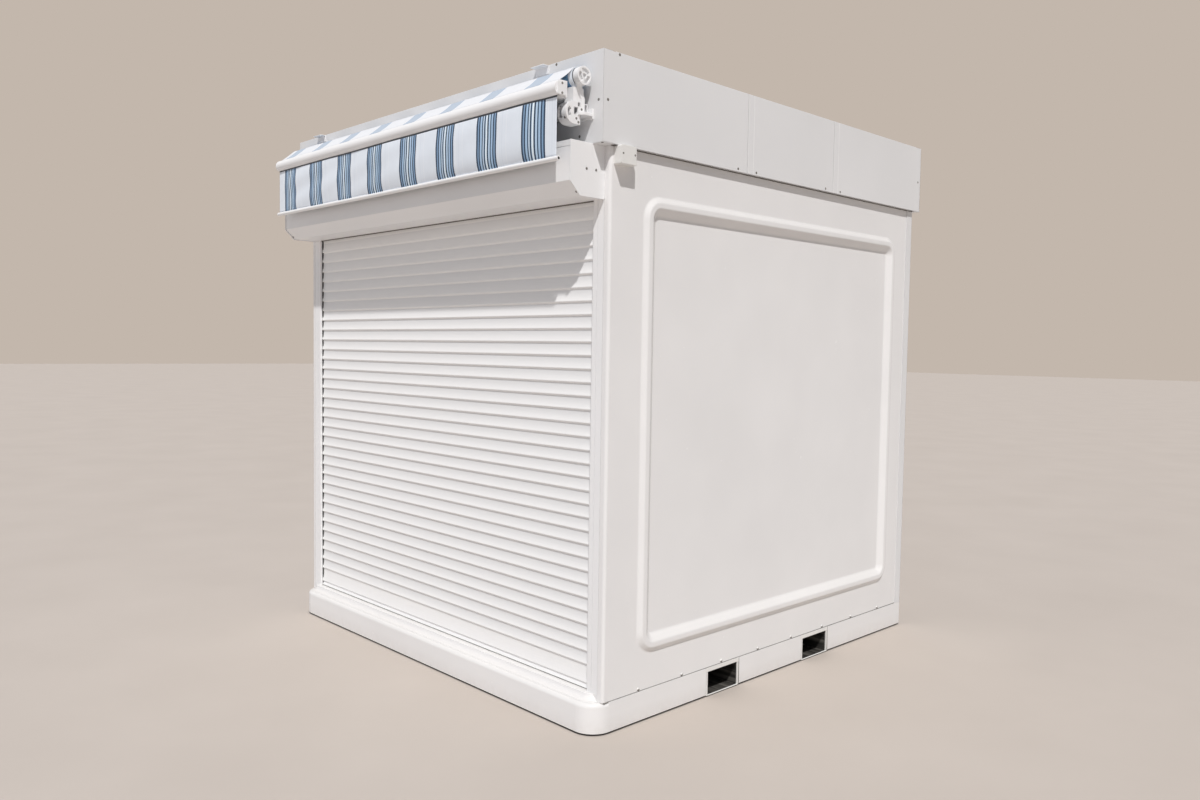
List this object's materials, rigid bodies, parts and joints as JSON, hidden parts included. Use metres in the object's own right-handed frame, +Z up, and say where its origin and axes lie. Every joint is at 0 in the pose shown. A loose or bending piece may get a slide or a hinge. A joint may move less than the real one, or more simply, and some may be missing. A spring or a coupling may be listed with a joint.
{
  "type": "beach hut",
  "caption": "White moulded beach hut with a full-width roller shutter, beaded wall panels, fork pockets in its base, a flat roof behind a metal fascia and a retracted striped awning.",
  "frame": {"origin": "on the ground, under the middle of the base", "axes": "+Z up, +X to the right seen from the front, +Y from the front to the back; the shutter faces -Y"},
  "size_m": [2.356, 2.485, 2.527],
  "materials": {
    "gel_coat": "white gel coat on moulded glass-reinforced plastic",
    "powder_coat": "white powder coat on folded sheet",
    "shutter_slat": "white stove enamel on roll-formed aluminium",
    "pocket_steel": "white paint on steel plate, grey where forks rub",
    "floor_wood": "sealed plywood",
    "awning_metal": "white powder coat on extrusions and castings",
    "awning_fabric": "woven acrylic canvas with blue stripes",
    "switch_plastic": "fine-textured white plastic"
  },
  "bodies": {
    "root": {"base_front": "gel_coat", "base_middle": "gel_coat", "base_rear": "gel_coat", "fork_pocket_front": "pocket_steel", "fork_pocket_rear": "pocket_steel", "floor_boards": "floor_wood", "shutter_sill": "gel_coat", "right_wall": "gel_coat", "left_wall": "gel_coat", "back_wall": "gel_coat", "rear_corner_trim_right": "powder_coat", "rear_corner_trim_left": "powder_coat", "front_header": "gel_coat", "roof_panel": "gel_coat", "fascia_front": "powder_coat", "fascia_back": "powder_coat", "fascia_right": "powder_coat", "fascia_left": "powder_coat", "shutter_guide_right": "powder_coat", "shutter_guide_left": "powder_coat", "shutter_curtain": "shutter_slat", "shutter_bottom_bar": "shutter_slat", "shutter_box": "powder_coat", "shutter_box_end_right": "powder_coat", "shutter_box_end_left": "powder_coat", "torsion_bar": "awning_metal", "wall_bracket_right": "awning_metal", "wall_bracket_left": "awning_metal", "roller_bracket_right": "awning_metal", "roller_bracket_left": "awning_metal", "cloth_roll": "awning_fabric", "awning_cloth": "awning_fabric", "front_rail": "awning_metal", "rail_cap_right": "awning_metal", "rail_cap_left": "awning_metal", "valance": "awning_fabric", "valance_bar": "awning_metal", "shoulder_right": "awning_metal", "shoulder_left": "awning_metal", "rear_arm_right": "awning_metal", "rear_arm_left": "awning_metal", "front_arm_right": "awning_metal", "front_arm_left": "awning_metal", "awning_cleats": "awning_metal", "switch_box": "switch_plastic"}
  },
  "joints": []
}
